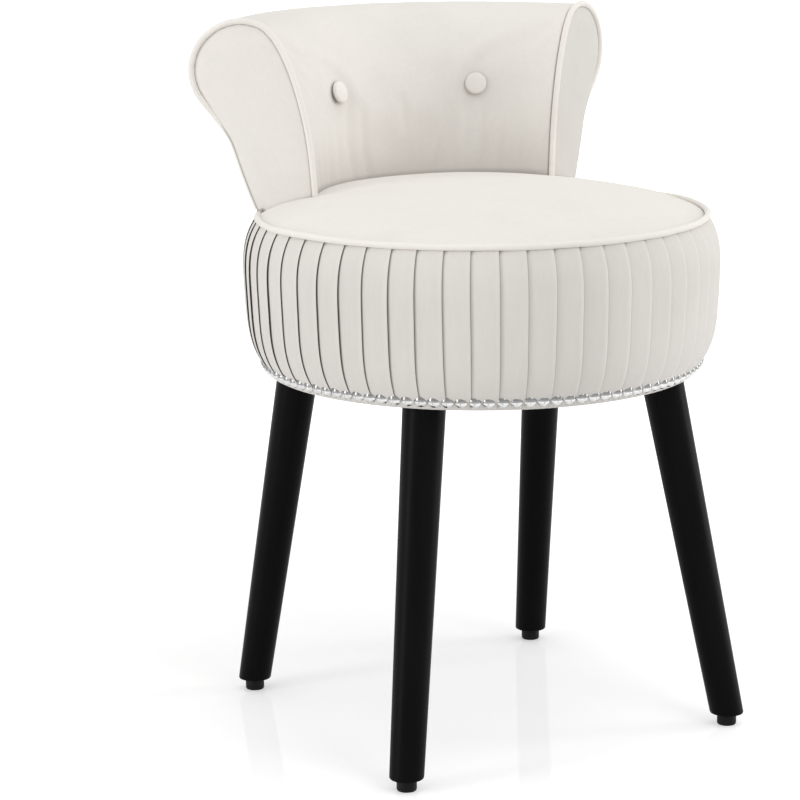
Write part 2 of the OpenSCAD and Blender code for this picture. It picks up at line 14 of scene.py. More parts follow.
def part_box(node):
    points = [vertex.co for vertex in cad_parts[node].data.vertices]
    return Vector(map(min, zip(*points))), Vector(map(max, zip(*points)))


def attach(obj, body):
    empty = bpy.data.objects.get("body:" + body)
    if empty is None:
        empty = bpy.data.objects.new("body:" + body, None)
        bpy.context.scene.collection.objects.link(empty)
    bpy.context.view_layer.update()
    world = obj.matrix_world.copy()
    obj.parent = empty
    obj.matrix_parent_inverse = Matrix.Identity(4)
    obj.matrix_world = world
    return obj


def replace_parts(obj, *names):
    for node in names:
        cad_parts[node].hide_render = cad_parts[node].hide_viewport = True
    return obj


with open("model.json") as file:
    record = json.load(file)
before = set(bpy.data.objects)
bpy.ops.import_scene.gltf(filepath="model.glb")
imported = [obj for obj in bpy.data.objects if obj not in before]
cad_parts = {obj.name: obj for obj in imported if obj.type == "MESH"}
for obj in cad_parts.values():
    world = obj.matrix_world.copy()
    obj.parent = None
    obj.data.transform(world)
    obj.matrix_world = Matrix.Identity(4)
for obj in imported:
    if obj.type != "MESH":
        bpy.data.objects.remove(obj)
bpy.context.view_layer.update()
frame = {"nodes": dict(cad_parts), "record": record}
scene = bpy.context.scene

# Drum and seat, from the boxes of the frame's nodes
low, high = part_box("seat_piping")
AXIS_Y = (low.y + high.y) / 2
PIPING_R = (high.z - low.z) / 2
RIM_Z = (high.z + low.z) / 2
RIM_R = (high.x - low.x) / 2 - PIPING_R
PIPING_SIDES = 16
HEM_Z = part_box("pleated_band")[0].z
DECK_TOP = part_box("seat_foam")[0].z
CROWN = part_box("seat_cover")[1].z - RIM_Z
HOOP_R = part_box("side_hoop")[1].x
GAP = 0.0003
CUSHION_R = RIM_R - PIPING_R - GAP
CROWN_POWER = 5
# The seat stands this much higher along the back, and its piping lies this much lower there
SEAT_LIFT = 0.0028
RIM_SETTLE = 0.0016

# Share of their full height that the seat and the back's cover have before the cloth swells, how
# far it may then move, and the share of the back's front at which its roll begins
SEAT_START = 0.93
COVER_START = 0.86
CLOTH_PRESSURE = 4.0
CLOTH_FRAMES = 20
SEAT_REACH = 0.008
COVER_REACH = 0.006
ROLL_SHARE = 0.62

# Pleated band, with the radii of its nail row and of its lower edge
NAIL_Z = HEM_Z + 0.0073
NAIL_ROW_R = 0.2023
HEM_R = 0.2005
BAND_TOP = RIM_Z - PIPING_R - GAP
BAND_BULGE = 0.0131
BAND_POWER = 3.6
BAND_OVERHANG = 0.0017
BAND_ROWS = 40
ROW_CROWDING = 0.06
PLEATS = 56
PLEAT_PITCH = math.tau / PLEATS
PLEAT_PHASE = math.radians(-1.4)
PLEAT_STEP = 0.0023
PLEAT_SWAY = 0.0005
LIP = 0.0012
SLOT = 0.0042

# Back: its outline in distance from the seat's axis and height, and how it wraps
BACK_Z = RIM_Z + PIPING_R + GAP
BACK_HALF = math.radians(57.7)
BACK_FRONT_R = 0.1522
BACK_REAR_R = 0.2065
ROLL_R = 0.0433
ROLL_CENTRE = Vector((0.221, RIM_Z + 0.1303))
ROLL_FROM = math.radians(115)
ROLL_TO = math.radians(-37)
FRONT_HANDLE = 0.070
ROLL_HANDLE = 0.030
REAR_HANDLE = 0.066
REAR_PULL = Vector((0.030, 0.075))
FRONT_POINTS, ROLL_POINTS, REAR_POINTS = 34, 24, 22

# Forms over that outline
BACK_SWELL = 0.0212
SWELL_START = 0.08
SWELL_SKEW = 0.65
SWELL_POWER = 4
SWELL_FLAT = 3
END_FULLNESS = 0.0028
FULLER_TO = Vector((-0.6, 0.8))
COVER_RISE = 0.0012
END_PIPING_R = 0.0028
END_CLEAR = END_PIPING_R + GAP
BACK_PAD = 0.020
REAR_PAD = 0.012
REAR_RISE = 0.0012
REAR_TUCK = 0.005
REAR_TUCK_DEPTH = 0.0014
PANEL_RISE = 0.0030

# Columns of the two covers. Their spacing, where 1 is even, is COLUMN_SPREAD in the middle and falls
# by three times COLUMN_CROWDING to the ends. The two differ by 1
FRONT_COLUMNS, REAR_COLUMNS = 92, 84
COLUMN_SPREAD = 1.36
COLUMN_CROWDING = 0.36

# Buttons
BUTTON_Z = RIM_Z + 0.0994
BUTTON_SHARE = 0.518
BUTTON_R = 0.0105
BUTTON_T = 0.0065
BUTTON_SINK = 0.0010
TUFT_DEPTH = 0.0036
WIDE_TUFT_R = 0.026
TIGHT_TUFT_R = 0.011

# Legs: their own radii and eased edge, then how far from the seat's axis and at what angle the front
# and the rear legs have their foot and their head
LEG_FOOT_R = 0.0154
LEG_HEAD_R = 0.0193
LEG_EDGE = 0.0013
FRONT_LEG = (HEM_R + 0.0322, math.radians(42.2), HEM_R - 0.0340, math.radians(41.4))
REAR_LEG = (HEM_R + 0.0302, math.radians(46.4), HEM_R - 0.0287, math.radians(38.1))
FOOT_PAD = 0.011
FOOT_STEM_R = 0.004

# Camera, fitted to the photograph
CAMERA_AT = Vector((-1.2920, -2.1592, 0.8432))
CAMERA_AZIMUTH = math.radians(-29.416)
CAMERA_ELEVATION = math.radians(12.240)
CAMERA_ROLL = math.radians(-0.542)
CAMERA_LENS = 123.3

# Studio: place, size and power of each lamp, and the floor's own glow, which makes it white and is dimmer
# near the stool, a painted shadow
LAMP_TARGET = Vector((0, 0, 0.4))
LAMPS = {"key_light": ((0.3, -2.2, 1.85), (1.2, 1.2), 13.5),
         "top_light": ((0.0, -0.1, 2.6), (2.2, 2.2), 11.6),
         "left_light": ((-2.65, 0.1, 0.75), (0.7, 1.4), 22),
         "right_light": ((2.7, -1.0, 0.75), (0.7, 1.4), 20)}
WORLD_LIGHT = 0.67
FLOOR_SIZE = 80.0
FLOOR_MIRROR = 0.07
PAINTED_SHADOW_CENTRE = (-0.17, 0.21, 0)
SHADE_FROM, SHADE_TO = 0.15, 1.4
GLOW_FROM, GLOW_TO = 0.385, 0.80


# Small helpers

def smooth(t):
    """0 to 1 with no corner at either end"""
    t = max(0.0, min(1.0, t))
    return t * t * (3 - 2 * t)


def wobble(p, size, seed):
    """Soft noise from -1 to 1 that changes over size metres"""
    return noise.noise(Vector(p) / size + Vector((seed * 7.3, seed * 3.1, seed * 5.7)))


def lookup(x, pairs):
    """Value at x in pairs of (x, value) sorted by x"""
    if x <= pairs[0][0]:
        return pairs[0][1]
    for (x0, y0), (x1, y1) in zip(pairs, pairs[1:]):
        if x <= x1:
            return y0 + (y1 - y0) * (x - x0) / (x1 - x0)
    return pairs[-1][1]


def on_axis(r, angle, z):
    """Point at a radius and an angle from +X about the seat's axis"""
    return Vector((r * math.cos(angle), AXIS_Y + r * math.sin(angle), z))


def facing(r, angle, z):
    """Point at a radius and an angle from the stool's rear towards +X"""
    return Vector((r * math.sin(angle), AXIS_Y + r * math.cos(angle), z))


# Meshes

def new_object(name, points, faces):
    mesh = bpy.data.meshes.new(name)
    mesh.from_pydata([tuple(p) for p in points], [], faces)
    mesh.validate()
    piece = bpy.data.objects.new(name, mesh)
    scene.collection.objects.link(piece)
    tidy = bmesh.new()
    tidy.from_mesh(mesh)
    bmesh.ops.recalc_face_normals(tidy, faces=tidy.faces)
    tidy.to_mesh(mesh)
    tidy.free()
    return piece


def strip(a, b, n, loop):
    """Quads between two rows of n points that start at a and b"""
    return [(a + i, a + (i + 1) % n, b + (i + 1) % n, b + i) for i in range(n if loop else n - 1)]


def shell(name, outer, inner, loop):
    """Closed form between an outer and an inner grid with rows of the same length"""
    n, k, m = len(outer[0]), len(outer), len(inner)
    points = [p for row in outer + inner for p in row]
    faces = []
    for r in range(k - 1):
        faces += strip(r * n, (r + 1) * n, n, loop)
    for r in range(m - 1):
        faces += strip((k + r) * n, (k + r + 1) * n, n, loop)
    faces += strip(0, k * n, n, loop) + strip((k - 1) * n, (k + m - 1) * n, n, loop)
    if not loop:
        assert k == m
        for column in (0, n - 1):
            for r in range(k - 1):
                a, b = r * n + column, (k + r) * n + column
                faces.append((a, a + n, b + n, b))
    return new_object(name, points, faces)


def tube(name, centres, normals, sides, radii, closed):
    """Round tube along centres. normals point away from the tube's line, square to it"""
    points, count = [], len(centres)
    for i, (c, n, r) in enumerate(zip(centres, normals, radii)):
        before = centres[i - 1] if closed or i else c
        after = centres[(i + 1) % count] if closed or i < count - 1 else c
        side = (after - before).normalized().cross(n).normalized()
        for k in range(sides):
            a = math.tau * k / sides
            points.append(c + r * (math.cos(a) * n + math.sin(a) * side))
    faces = []
    for i in range(count if closed else count - 1):
        faces += strip(i * sides, (i + 1) % count * sides, sides, True)
    if not closed:
        faces += [tuple(range(sides)), tuple(range((count - 1) * sides, count * sides))]
    return new_object(name, points, faces)


def lathe(name, profile, sides, place):
    """Turned form: profile is (radius, height) from one end on the axis to the other"""
    points = [Vector((0, 0, profile[0][1]))]
    for r, z in profile[1:-1]:
        points += [Vector((r * math.cos(a), r * math.sin(a), z))
                   for a in (math.tau * k / sides for k in range(sides))]
    points.append(Vector((0, 0, profile[-1][1])))
    rings = len(profile) - 2
    faces = [(0, 1 + (k + 1) % sides, 1 + k) for k in range(sides)]
    for r in range(rings - 1):
        faces += strip(1 + r * sides, 1 + (r + 1) * sides, sides, True)
    last, base = len(points) - 1, 1 + (rings - 1) * sides
    faces += [(base + k, base + (k + 1) % sides, last) for k in range(sides)]
    return new_object(name, [place @ p for p in points], faces)


# Height of a row of even triangles, as a share of their sides
ROW_HEIGHT = 0.866


def filled(border, spacing, rings):
    """Triangles that fill a closed border, with rings of points at set distances inside it and
    the rest in an even pattern. Returns the points, the border's first, and the triangles"""
    xs, ys = [p.x for p in border], [p.y for p in border]
    rows = int((max(ys) - min(ys)) / (spacing * ROW_HEIGHT))
    inner = []
    for i, p in enumerate(border):
        way = (border[(i + 1) % len(border)] - border[i - 1]).normalized()
        for d in rings:
            for q in (p + d * Vector((way.y, -way.x)), p - d * Vector((way.y, -way.x))):
                if inside(q, border) and edge_distance(q, border) > 0.93 * d:
                    inner.append(q)
    clear = rings[-1] + spacing * 0.6
    for j in range(rows + 1):
        y = min(ys) + (j + 0.5) * spacing * ROW_HEIGHT
        x = min(xs) + (0.25 + 0.5 * (j % 2)) * spacing
        while x < max(xs):
            p = Vector((x, y))
            if inside(p, border) and edge_distance(p, border) > clear:
                inner.append(p)
            x += spacing
    points = list(border) + inner
    edges = [(i, (i + 1) % len(border)) for i in range(len(border))]
    made = delaunay_2d_cdt(points, edges, [], 1, 1e-7)
    return made[0], [tuple(f) for f in made[2]]


def inside(p, border):
    hit = False
    for a, b in zip(border, border[1:] + border[:1]):
        if (a.y > p.y) != (b.y > p.y) and p.x < a.x + (b.x - a.x) * (p.y - a.y) / (b.y - a.y):
            hit = not hit
    return hit


def edge_distance(p, border):
    best = 1.0
    for a, b in zip(border, border[1:] + border[:1]):
        way = b - a
        t = max(0.0, min(1.0, (p - a).dot(way) / max(way.length_squared, 1e-12)))
        best = min(best, (p - a - t * way).length)
    return best


def cushion_form(name, points, faces, border_count, top, under):
    """Closed form over a filled region: top and under give a place for each of its points"""
    n = len(points)
    over = [top(p) for p in points] + [under(p) for p in points]
    made = list(faces) + [tuple(reversed([i + n for i in f])) for f in faces]
    for i in range(border_count):
        j = (i + 1) % border_count
        made.append((i, j, n + j, n + i))
    return new_object(name, over, made)


def swell_out(piece, pinned, reach):
    """Cloth under pressure: pinned points stay, and no other moves further than its reach"""
    rest = [v.co.copy() for v in piece.data.vertices]
    piece.vertex_groups.new(name="pinned").add(pinned, 1.0, "REPLACE")
    cloth = piece.modifiers.new("cloth", "CLOTH")
    settings = cloth.settings
    settings.quality = 5
    settings.mass = 0.3
    settings.tension_stiffness = settings.compression_stiffness = 12
    settings.shear_stiffness = 6
    settings.bending_stiffness = 0.5
    settings.use_pressure = True
    settings.uniform_pressure_force = CLOTH_PRESSURE
    settings.vertex_group_mass = "pinned"
    settings.effector_weights.gravity = 0
    cloth.collision_settings.use_collision = False
    for f in range(1, CLOTH_FRAMES + 1):
        scene.frame_set(f)
    now = piece.evaluated_get(bpy.context.evaluated_depsgraph_get())
    moved = [v.co.copy() for v in now.data.vertices]
    piece.modifiers.remove(cloth)
    piece.vertex_groups.clear()
    for v, a, b, most in zip(piece.data.vertices, rest, moved, reach):
        way = b - a
        if way.length > most:
            way *= most / way.length
        v.co = a + way
    piece.data.update()
    scene.frame_set(1)


def apply_modifier(piece, kind, **values):
    modifier = piece.modifiers.new(kind, kind)
    for key, value in values.items():
        setattr(modifier, key, value)
    with bpy.context.temp_override(object=piece, active_object=piece):
        bpy.ops.object.modifier_apply(modifier=modifier.name)


def set_value(piece, name, values):
    """Keeps one number a point on the mesh, for its material to read"""
    attribute = piece.data.attributes.new(name, "FLOAT", "POINT")
    attribute.data.foreach_set("value", values)


def dress(piece, material, corner=50):
    """Gives a piece its material, its smooth faces and its place on the stool"""
    piece.data.materials.append(material)
    piece.data.shade_smooth()
    piece.data.set_sharp_from_angle(angle=math.radians(corner))
    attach(piece, "stool")
    return piece


# Materials

class Nodes:
    """A few words for building a material's nodes"""

    def __init__(self, name):
        self.material = bpy.data.materials.new(name)
        self.material.use_nodes = True
        self.tree = self.material.node_tree
        self.shader = self.tree.nodes["Principled BSDF"]
        self.place = self.add("ShaderNodeTexCoord").outputs["Object"]

    def add(self, kind, **values):
        made = self.tree.nodes.new(kind)
        for key, value in values.items():
            setattr(made, key, value)
        return made

    def link(self, a, b):
        self.tree.links.new(a, b)
        return b.node

    def set(self, **values):
        for key, value in values.items():
            self.shader.inputs[key.replace("_", " ")].default_value = value

    def stretched(self, scale):
        mapping = self.add("ShaderNodeMapping")
        mapping.inputs["Scale"].default_value = scale
        self.link(self.place, mapping.inputs["Vector"])
        return mapping.outputs["Vector"]

    def noise(self, scale, detail=2.0, rough=0.5, place=None):
        made = self.add("ShaderNodeTexNoise")
        made.inputs["Scale"].default_value = scale
        made.inputs["Detail"].default_value = detail
        made.inputs["Roughness"].default_value = rough
        self.link(place or self.place, made.inputs["Vector"])
        return made.outputs["Fac"]

    def ramp(self, value, *stops):
        made = self.add("ShaderNodeValToRGB")
        keys = made.color_ramp.elements
        while len(keys) < len(stops):
            keys.new(0.5)
        for key, (at, colour) in zip(keys, stops):
            key.position = at
            key.color = (*colour, 1)
        self.link(value, made.inputs["Fac"])
        return made.outputs["Color"]

    def mix(self, share, a, b, blend="MIX"):
        made = self.add("ShaderNodeMix", data_type="RGBA", blend_type=blend)
        for socket, value in ((0, share), (6, a), (7, b)):
            if isinstance(value, bpy.types.NodeSocket):
                self.link(value, made.inputs[socket])
            else:
                made.inputs[socket].default_value = value if socket == 0 else (*value, 1)
        return made.outputs[2]

    def math(self, what, a, b):
        made = self.add("ShaderNodeMath", operation=what)
        for socket, value in ((0, a), (1, b)):
            if isinstance(value, bpy.types.NodeSocket):
                self.link(value, made.inputs[socket])
            else:
                made.inputs[socket].default_value = value
        return made.outputs[0]

    def value(self, name):
        return self.add("ShaderNodeAttribute", attribute_name=name).outputs["Fac"]

    def bump(self, height, strength, distance, under=None):
        made = self.add("ShaderNodeBump")
        made.inputs["Strength"].default_value = strength
        made.inputs["Distance"].default_value = distance
        self.link(height, made.inputs["Height"])
        if under:
            self.link(under, made.inputs["Normal"])
        return made.outputs["Normal"]


def darker(tone, share):
    return [c * share for c in tone]


def velvet(name, tone, streaks, sheen=0.28):
    """Short-pile velvet: soft patches where the nap lies another way, fine pile, and sheen.
    streaks scales the nap's marks along X, Y and Z. The mesh's values give painted shade in creases,
    grooves and seams, and a painted highlight along folds"""
    n = Nodes(name)
    warm = [c * w for c, w in zip(tone, (1.0, 0.985, 0.955))]
    dim = darker(tone, 0.95)
    patches = n.ramp(n.noise(11, 3, 0.55), (0.36, dim), (0.52, tone), (0.68, tone))
    patches = n.mix(n.math("MULTIPLY", n.noise(5, 2), 0.7), patches, warm)
    nap = n.ramp(n.noise(240, 4, 0.7, n.stretched(streaks)),
                 (0.3, (0.94, 0.94, 0.94)), (0.7, (1, 1, 1)))
    colour = n.mix(0.6, patches, nap, "MULTIPLY")
    # Painted shade and painted highlight: one mesh value darkens the colour towards this warm grey, the
    # fold value makes it paler along fold edges
    shade = [c * w for c, w in zip(tone, (0.10, 0.085, 0.075))]
    highlight_tone = [min(1.0, c * 1.16) for c in tone]
    colour = n.mix(n.math("MULTIPLY", n.value("fold"), 0.3), colour, highlight_tone)
    colour = n.mix(n.value("painted_shade"), colour, shade)
    n.link(colour, n.shader.inputs["Base Color"])
    pile = n.bump(n.noise(2600, 2, 0.6), 0.25, 0.0002)
    n.link(n.bump(n.noise(90, 3, 0.6), 0.12, 0.001, pile), n.shader.inputs["Normal"])
    n.set(Roughness=0.92, Sheen_Weight=sheen, Sheen_Roughness=0.45)
    n.shader.inputs["Sheen Tint"].default_value = (1, 0.99, 0.97, 1)
    n.shader.inputs["Specular IOR Level"].default_value = 0.15
    return n.material


def lacquer():
    """Satin black lacquer over turned wood"""
    n = Nodes("satin_black_lacquer")
    grain = n.noise(60, 4, 0.6, n.stretched((1, 1, 0.06)))
    n.link(n.ramp(grain, (0.3, (0.0020, 0.0020, 0.0021)), (0.7, (0.0032, 0.0032, 0.0033))),
           n.shader.inputs["Base Color"])
    rough = n.math("MULTIPLY", n.noise(35, 3), 0.10)
    n.link(n.math("ADD", rough, 0.33), n.shader.inputs["Roughness"])
    n.link(n.bump(grain, 0.05, 0.0004), n.shader.inputs["Normal"])
    n.shader.inputs["Specular IOR Level"].default_value = 0.045
    return n.material


def moulded_plastic():
    n = Nodes("black_moulded_plastic")
    n.link(n.ramp(n.noise(900, 2), (0.3, (0.003, 0.003, 0.003)), (0.7, (0.005, 0.005, 0.005))),
           n.shader.inputs["Base Color"])
    n.link(n.bump(n.noise(1400, 2), 0.2, 0.0002), n.shader.inputs["Normal"])
    n.shader.inputs["Specular IOR Level"].default_value = 0.15
    n.set(Roughness=0.5)
    return n.material


def nickel():
    """Polished nail heads, a little scuffed, with a painted reflection: darker where they face up, paler
    where they face down
    """
    n = Nodes("polished_nickel_painted_reflection")
    up = n.add("ShaderNodeSeparateXYZ")
    n.link(n.add("ShaderNodeNewGeometry").outputs["Normal"], up.inputs["Vector"])
    # Painted reflection: the colour is dark where the head faces up and pale where it faces down
    tone = n.ramp(n.math("ADD", up.outputs["Z"], 0.5),
                  (0.28, (0.72, 0.72, 0.72)), (0.40, (0.26, 0.26, 0.26)))
    scuffs = n.ramp(n.noise(300, 3), (0.3, (0.85, 0.85, 0.85)), (0.7, (1, 1, 0.99)))
    n.link(n.mix(1.0, tone, scuffs, "MULTIPLY"), n.shader.inputs["Base Color"])
    n.link(n.math("ADD", n.math("MULTIPLY", n.noise(700, 2), 0.14), 0.16), n.shader.inputs["Roughness"])
    n.set(Metallic=1.0)
    return n.material


def zinc():
    n = Nodes("zinc_plated_steel")
    n.link(n.ramp(n.noise(160, 4), (0.3, (0.50, 0.51, 0.52)), (0.7, (0.62, 0.62, 0.60))),
           n.shader.inputs["Base Color"])
    n.link(n.math("ADD", n.math("MULTIPLY", n.noise(400, 2), 0.2), 0.3), n.shader.inputs["Roughness"])
    n.set(Metallic=1.0)
    return n.material


def plywood():
    n = Nodes("plywood")
    rings = n.noise(38, 5, 0.6, n.stretched((1, 0.12, 1)))
    n.link(n.ramp(rings, (0.35, (0.46, 0.30, 0.16)), (0.55, (0.63, 0.45, 0.27)),
                  (0.7, (0.70, 0.53, 0.34))), n.shader.inputs["Base Color"])
    n.link(n.bump(rings, 0.2, 0.0006), n.shader.inputs["Normal"])
    n.set(Roughness=0.72)
    return n.material


def upholstery_foam():
    n = Nodes("upholstery_foam")
    n.link(n.ramp(n.noise(600, 3), (0.3, (0.78, 0.69, 0.42)), (0.7, (0.90, 0.83, 0.60))),
           n.shader.inputs["Base Color"])
    n.link(n.bump(n.noise(1500, 2), 0.5, 0.0005), n.shader.inputs["Normal"])
    n.set(Roughness=0.95)
    return n.material


def waxed_twine():
    n = Nodes("waxed_twine")
    n.link(n.ramp(n.noise(900, 2, 0.5, n.stretched((1, 1, 0.3))), (0.3, (0.10, 0.085, 0.07)),
                  (0.7, (0.20, 0.17, 0.14))), n.shader.inputs["Base Color"])
    n.set(Roughness=0.6)
    return n.material


def non_woven():
    """Black bonded cloth under the seat, with its grid of small pressed points"""
    n = Nodes("non_woven_cloth")
    n.link(n.ramp(n.noise(500, 4, 0.7), (0.3, (0.010, 0.010, 0.010)), (0.7, (0.030, 0.030, 0.030))),
           n.shader.inputs["Base Color"])
    dots = n.add("ShaderNodeTexVoronoi")
    dots.inputs["Scale"].default_value = 420
    dots.inputs["Randomness"].default_value = 0.15
    n.link(n.place, dots.inputs["Vector"])
    n.link(n.bump(dots.outputs["Distance"], 0.5, 0.0004), n.shader.inputs["Normal"])
    n.set(Roughness=0.85)
    return n.material


# The band and the right end panel take a darker copy of the cream velvet: painted shade
CREAM = (0.80, 0.772, 0.735)
COVER = velvet("velvet_cover", CREAM, (1, 1, 0.8))
BAND_SHADED = velvet("velvet_band_painted_shade", darker(CREAM, 0.86), (1, 1, 0.15), 0.5)
TRIM = velvet("velvet_trim", (0.83, 0.80, 0.76), (1, 1, 1))
PANEL_RIGHT_SHADED = velvet("velvet_other_nap", darker(CREAM, 0.84), (1, 1, 0.8))
CAD_LOOKS = {"plywood": plywood(), "zinc_steel": zinc(), "nail_metal": nickel(),
             "foam": upholstery_foam(), "twine": waxed_twine(), "dust_cloth": non_woven(),
             "black_wood": lacquer(), "black_plastic": moulded_plastic(), "velvet": COVER,
             "velvet_piping": TRIM, "velvet_button": TRIM}


def dress_cad_nodes():
    """Each node that still shows takes the look of its slot"""
    slots = {s["node"]: s["material_slot"] for s in frame["record"]["subparts"]}
    for name, node in frame["nodes"].items():
        node.data.materials.clear()
        node.data.materials.append(CAD_LOOKS[slots[name]])


# Outline of the back

def bezier(a, b, c, d, n):
    return [a * (1 - t) ** 3 + 3 * b * t * (1 - t) ** 2 + 3 * c * t * t * (1 - t) + d * t ** 3
            for t in (i / n for i in range(n + 1))]


def roll_point(a):
    return ROLL_CENTRE + ROLL_R * Vector((math.cos(a), math.sin(a)))


def roll_way(a):
    return Vector((math.sin(a), -math.cos(a)))


def outline_of(front_n, roll_n, rear_n):
    """Points from the front of the back over its roll to its rear, and the seam's index"""
    front = bezier(Vector((BACK_FRONT_R, BACK_Z)), Vector((BACK_FRONT_R + 0.002, BACK_Z + FRONT_HANDLE)),
                   roll_point(ROLL_FROM) - ROLL_HANDLE * roll_way(ROLL_FROM), roll_point(ROLL_FROM),
                   front_n)
    roll = [roll_point(ROLL_FROM + (ROLL_TO - ROLL_FROM) * i / roll_n) for i in range(1, roll_n)]
    foot = Vector((BACK_REAR_R, BACK_Z))
    rear = bezier(roll_point(ROLL_TO), roll_point(ROLL_TO) + REAR_HANDLE * roll_way(ROLL_TO),
                  foot + REAR_PULL, foot, rear_n)
    return front + roll + rear, len(front) + len(roll)


def inward(line, i):
    """Direction into the back's section, to the right of the way that its outline runs"""
    way = (line[min(i + 1, len(line) - 1)] - line[max(i - 1, 0)]).normalized()
    return Vector((way.y, -way.x))


def runs(line):
    total = [0.0]
    for a, b in zip(line, line[1:]):
        total.append(total[-1] + (b - a).length)
    return total


OUTLINE, SEAM = outline_of(FRONT_POINTS, ROLL_POINTS, REAR_POINTS)
LAST = len(OUTLINE) - 1
FRONT_FACE = OUTLINE[:FRONT_POINTS]
RUN = runs(OUTLINE)


def fullness(i):
    """How far the ends of the roll stand out past its middle: most where it turns to the front"""
    facing_it = max(0.0, -inward(OUTLINE, i).dot(FULLER_TO))
    return END_FULLNESS * facing_it ** 2 * smooth((OUTLINE[i].y - BACK_Z) / 0.08)


END_LINE = [p - fullness(i) * inward(OUTLINE, i) for i, p in enumerate(OUTLINE)]


def end_angle(r):
    return BACK_HALF - math.asin(END_CLEAR / r)


def wrapped(p, share):
    """Point of the outline at a share of the angle to the end panels"""
    return facing(p.x, share * end_angle(p.x), p.y)


def end_distance(p, share):
    """Way along the cloth from a point to the nearer end panel"""
    return (1 - abs(share)) * end_angle(p.x) * p.x


def column_shares(columns):
    """Shares from -1 to 1, closer together towards the ends"""
    return [t * (COLUMN_SPREAD - COLUMN_CROWDING * t * t)
            for t in (2 * c / columns - 1 for c in range(columns + 1))]


def front_swell(u, share):
    """Fullness of the front cover at a share u of the way from the seat to the seam"""
    v = max(0.0, u - SWELL_START) / (1 - SWELL_START)
    up = math.sin(math.pi * v ** SWELL_SKEW) ** SWELL_POWER
    return BACK_SWELL * (1 - abs(share) ** SWELL_FLAT) * up


def face_r(z):
    """Radius of the back's front face at a height"""
    return lookup(z, [(p.y, p.x) for p in FRONT_FACE])


BUTTON_FACE_R = face_r(BUTTON_Z)
BUTTON_ANGLE = end_angle(BUTTON_FACE_R) * BUTTON_SHARE
BUTTON_SPOTS = [facing(BUTTON_FACE_R, side * BUTTON_ANGLE, BUTTON_Z) for side in (-1, 1)]


def button_distance(p):
    return min((p - b).length for b in BUTTON_SPOTS)


def tuft(p):
    """How far the buttons pull the cloth in: a wide dimple and a tight one in it"""
    d = button_distance(p)
    wide, tight = math.exp(-(d / WIDE_TUFT_R) ** 2), math.exp(-(d / TIGHT_TUFT_R) ** 2)
    return TUFT_DEPTH * (0.62 * wide + 0.5 * tight)


# Soft pieces

def seat_border():
    """Edge of the seat seen from above: a circle that goes round the back and its end panels"""
    inner_r = BACK_FRONT_R - GAP
    corner = BACK_HALF + math.asin(END_CLEAR / inner_r)
    rim = BACK_HALF + math.asin(END_CLEAR / CUSHION_R)
    rim_steps, end_steps, face_steps = 170, 10, 64
    border = []
    for i in range(1, rim_steps):
        border.append(facing(CUSHION_R, rim + (math.tau - 2 * rim) * i / rim_steps, 0).xy)
    for i in range(end_steps + 1):
        r = CUSHION_R - (CUSHION_R - inner_r) * i / end_steps
        border.append(facing(r, -BACK_HALF - math.asin(END_CLEAR / r), 0).xy)
    for i in range(1, face_steps):
        border.append(facing(inner_r, -corner + 2 * corner * i / face_steps, 0).xy)
    for i in range(end_steps + 1):
        r = inner_r + (CUSHION_R - inner_r) * i / end_steps
        border.append(facing(r, BACK_HALF + math.asin(END_CLEAR / r), 0).xy)
    return border


def seat_z(p, full):
    """Height of the seat over a point, with a share of its crown. It stands higher along the back"""
    r = min(1.0, (p - Vector((0, AXIS_Y))).length / CUSHION_R)
    along_back = smooth((p.y - AXIS_Y - 0.04) / 0.10) * smooth((1 - r) / 0.12)
    return RIM_Z + full * CROWN * (1 - r ** CROWN_POWER) + SEAT_LIFT * along_back


def make_seat():
    """Crowned seat cushion: its cloth is drawn down at the piping and along the back"""
    border = seat_border()
    points, faces = filled(border, 0.006, (0.0008, 0.002, 0.004, 0.007))
    near = [edge_distance(p, border) for p in points]
    at = iter(near)

    def crowned(p):
        return Vector((p.x, p.y, seat_z(p, SEAT_START) - 0.0008 * math.exp(-next(at) / 0.0025)))

    seat = cushion_form("seat_cushion", points, faces, len(border), crowned,
                        lambda p: Vector((p.x, p.y, DECK_TOP)))
    n = len(points)
    pinned = [i for i in range(n) if near[i] < 0.002] + list(range(n, 2 * n))
    reach = [SEAT_REACH * smooth(d / 0.03) for d in near] + [0.0] * n
    swell_out(seat, pinned, reach)
    for v in list(seat.data.vertices)[:n]:
        v.co.z += 0.0005 * wobble(v.co, 0.05, 1) * smooth(edge_distance(v.co.xy, border) / 0.02)
    # Painted shade in the groove along the seat's edge
    shade_marks = [math.exp(-d / 0.0012) for d in near] + [1.0] * n
    set_value(seat, "painted_shade", [0.2 * c for c in shade_marks])
    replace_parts(dress(seat, COVER), "seat_cover", "seat_foam")


def make_seat_piping():
    """Piping round the seat: cloth over a cord, so not quite even, and lower under the back"""
    count = 420
    centres, normals, radii = [], [], []
    for i in range(count):
        a = math.tau * i / count
        settle = RIM_SETTLE * smooth((RIM_R * math.sin(a) + 0.03) / 0.06)
        spot = on_axis(RIM_R - settle, a, RIM_Z - settle)
        centres.append(spot + Vector((0, 0, 0.0003 * wobble(spot, 0.03, 2))))
        normals.append(Vector((math.cos(a), math.sin(a), 0)))
        radii.append(PIPING_R * (1 + 0.03 * wobble(spot, 0.012, 3)))
    piece = tube("seat_piping_welt", centres, normals, PIPING_SIDES, radii, True)
    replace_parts(dress(piece, TRIM), "seat_piping")


def band_r(s):
    """Radius of the band at a share of the height from the nail row to the piping"""
    straight = NAIL_ROW_R + (RIM_R + BAND_OVERHANG - NAIL_ROW_R) * s
    return straight + BAND_BULGE * (1 - abs(2 * s - 1) ** BAND_POWER)


